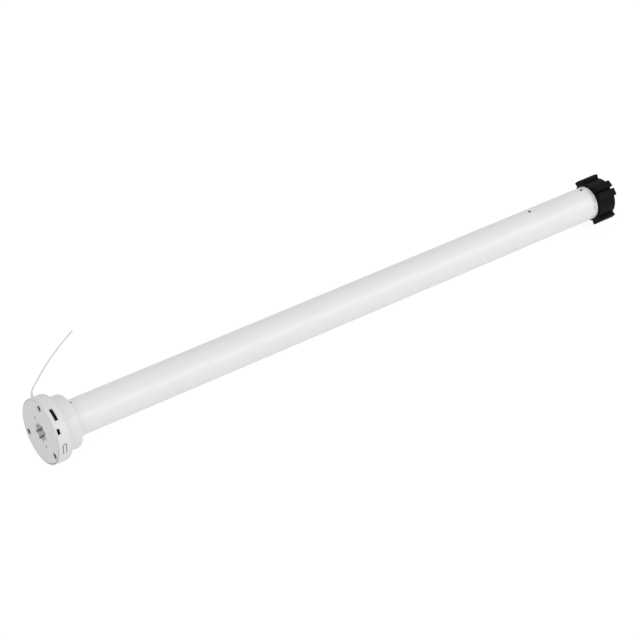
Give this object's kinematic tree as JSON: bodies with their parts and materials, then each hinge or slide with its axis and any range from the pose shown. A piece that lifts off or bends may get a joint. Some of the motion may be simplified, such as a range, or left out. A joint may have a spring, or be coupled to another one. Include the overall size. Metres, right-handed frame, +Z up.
{
  "type": "tubular roller blind motor",
  "caption": "Slim rechargeable tubular motor for a roller blind, with a round charging head, star bracket socket, idler crown, whip antenna and ribbed drive wheel.",
  "frame": {"origin": "centre of the star socket's mouth, on the front face of the head", "axes": "+X along the tube from the head to the drive wheel, +Z up as in the picture, -Y to the viewer's side"},
  "size_m": [0.4818, 0.0454, 0.0796],
  "materials": {
    "white_plastic": "moulded, fine satin",
    "white_paint": "white powder coat on steel tube",
    "black_nylon": "moulded, satin",
    "grey_nylon": "moulded, dull",
    "antenna_pvc": "extruded insulation",
    "lead_pvc": "extruded insulation",
    "dark_steel": "black oxide",
    "bright_steel": "nickel plated",
    "core_steel": "stacked laminations",
    "ferrite": "sintered",
    "copper": "enamelled",
    "bronze": "sintered",
    "carbon": "pressed carbon",
    "board_green": "solder mask",
    "board_black": "black solder mask",
    "chip_black": "moulded",
    "cell_sleeve": null,
    "damper_rubber": "matte",
    "gear_zinc": "die cast",
    "gear_acetal": "moulded"
  },
  "bodies": {
    "motor_body": {"front_cover": "white_plastic", "head_housing": "white_plastic", "bracket_socket": "grey_nylon", "tact_switch": "dark_steel", "charge_board": "board_black", "usb_shell": "bright_steel", "usb_tongue": "chip_black", "antenna_boot": "white_plastic", "antenna_wire": "antenna_pvc", "cover_screws": "dark_steel", "motor_tube": "white_paint", "tube_screws": "dark_steel", "battery_cradle": "black_nylon", "battery_cell_1": "cell_sleeve", "battery_cell_2": "cell_sleeve", "battery_cell_3": "cell_sleeve", "cell_tabs": "bright_steel", "supply_leads": "lead_pvc", "board_tray": "black_nylon", "control_board": "board_green", "board_components": "chip_black", "hall_sensor": "chip_black", "motor_leads": "lead_pvc", "motor_can": "bright_steel", "motor_end_cap": "black_nylon", "field_magnets": "ferrite", "brushes": "carbon", "motor_bushes": "bronze", "motor_damper": "damper_rubber", "gearbox_base": "gear_zinc", "motor_screws": "bright_steel", "ring_gear": "gear_zinc", "thrust_washer": "bronze", "gearbox_nose": "white_plastic", "output_bushes": "bronze"},
    "button": {"setting_button": "white_plastic"},
    "plunger": {"switch_plunger": "white_plastic"},
    "idler_crown": {"crown": "white_plastic"},
    "output": {"output_carrier": "bright_steel", "drive_wheel": "black_nylon", "wheel_washer": "bright_steel", "wheel_screw": "bright_steel"},
    "carrier_2_body": {"carrier_2": "bright_steel"},
    "carrier_1_body": {"carrier_1": "bright_steel"},
    "rotor": {"rotor_shaft": "bright_steel", "armature_core": "core_steel", "armature_windings": "copper", "commutator": "copper", "encoder_magnet": "ferrite", "sun_pinion": "bronze"},
    "planet_1a_body": {"planet_1a": "gear_acetal"},
    "planet_1b_body": {"planet_1b": "gear_acetal"},
    "planet_1c_body": {"planet_1c": "gear_acetal"},
    "planet_2a_body": {"planet_2a": "gear_acetal"},
    "planet_2b_body": {"planet_2b": "gear_acetal"},
    "planet_2c_body": {"planet_2c": "gear_acetal"},
    "planet_3a_body": {"planet_3a": "gear_acetal"},
    "planet_3b_body": {"planet_3b": "gear_acetal"},
    "planet_3c_body": {"planet_3c": "gear_acetal"}
  },
  "joints": [
    {"name": "drive_spin", "type": "hinge", "parent": "motor_body", "child": "output", "pos_m": [0.4743, 0, 0], "axis": [1, 0, 0], "continuous": true},
    {"name": "crown_spin", "type": "hinge", "parent": "motor_body", "child": "idler_crown", "pos_m": [0.0158, 0, 0], "axis": [1, 0, 0], "continuous": true},
    {"name": "carrier_2_spin", "type": "hinge", "parent": "motor_body", "child": "carrier_2_body", "pos_m": [0.4223, 0, 0], "axis": [1, 0, 0], "continuous": true},
    {"name": "carrier_1_spin", "type": "hinge", "parent": "motor_body", "child": "carrier_1_body", "pos_m": [0.4122, 0, 0], "axis": [1, 0, 0], "continuous": true},
    {"name": "rotor_spin", "type": "hinge", "parent": "motor_body", "child": "rotor", "pos_m": [0.377, 0, 0], "axis": [1, 0, 0], "continuous": true},
    {"name": "planet_1a_spin", "type": "hinge", "parent": "carrier_1_body", "child": "planet_1a_body", "pos_m": [0.4082, 0, 0.006], "axis": [1, 0, 0], "continuous": true},
    {"name": "planet_1b_spin", "type": "hinge", "parent": "carrier_1_body", "child": "planet_1b_body", "pos_m": [0.4082, -0.0052, -0.003], "axis": [1, 0, 0], "continuous": true},
    {"name": "planet_1c_spin", "type": "hinge", "parent": "carrier_1_body", "child": "planet_1c_body", "pos_m": [0.4082, 0.0052, -0.003], "axis": [1, 0, 0], "continuous": true},
    {"name": "planet_2a_spin", "type": "hinge", "parent": "carrier_2_body", "child": "planet_2a_body", "pos_m": [0.4172, 0, 0.006], "axis": [1, 0, 0], "continuous": true},
    {"name": "planet_2b_spin", "type": "hinge", "parent": "carrier_2_body", "child": "planet_2b_body", "pos_m": [0.4172, -0.0052, -0.003], "axis": [1, 0, 0], "continuous": true},
    {"name": "planet_2c_spin", "type": "hinge", "parent": "carrier_2_body", "child": "planet_2c_body", "pos_m": [0.4172, 0.0052, -0.003], "axis": [1, 0, 0], "continuous": true},
    {"name": "planet_3a_spin", "type": "hinge", "parent": "output", "child": "planet_3a_body", "pos_m": [0.4288, 0, 0.006], "axis": [1, 0, 0], "continuous": true},
    {"name": "planet_3b_spin", "type": "hinge", "parent": "output", "child": "planet_3b_body", "pos_m": [0.4288, -0.0052, -0.003], "axis": [1, 0, 0], "continuous": true},
    {"name": "planet_3c_spin", "type": "hinge", "parent": "output", "child": "planet_3c_body", "pos_m": [0.4288, 0.0052, -0.003], "axis": [1, 0, 0], "continuous": true},
    {"name": "plunger_slide", "type": "slide", "parent": "motor_body", "child": "plunger", "axis": [0, 0.9994, -0.0349], "range_m": [0, 0.0003], "stiffness_N_per_m": 250},
    {"name": "button_press", "type": "hinge", "parent": "motor_body", "child": "button", "pos_m": [0.00425, -0.02094, -0.00507], "axis": [-1, 0, 0], "range_deg": [0, 3]}
  ],
  "couplings": [
    {"joint": "carrier_2_spin", "follows": "drive_spin", "ratio": 5},
    {"joint": "carrier_1_spin", "follows": "drive_spin", "ratio": 25},
    {"joint": "rotor_spin", "follows": "drive_spin", "ratio": 125},
    {"joint": "planet_1a_spin", "follows": "drive_spin", "ratio": -66.667},
    {"joint": "planet_1b_spin", "follows": "drive_spin", "ratio": -66.667},
    {"joint": "planet_1c_spin", "follows": "drive_spin", "ratio": -66.667},
    {"joint": "planet_2a_spin", "follows": "drive_spin", "ratio": -13.333},
    {"joint": "planet_2b_spin", "follows": "drive_spin", "ratio": -13.333},
    {"joint": "planet_2c_spin", "follows": "drive_spin", "ratio": -13.333},
    {"joint": "planet_3a_spin", "follows": "drive_spin", "ratio": -2.6667},
    {"joint": "planet_3b_spin", "follows": "drive_spin", "ratio": -2.6667},
    {"joint": "planet_3c_spin", "follows": "drive_spin", "ratio": -2.6667},
    {"joint": "button_press", "follows": "plunger_slide", "rad_per_m": 172.4}
  ]
}
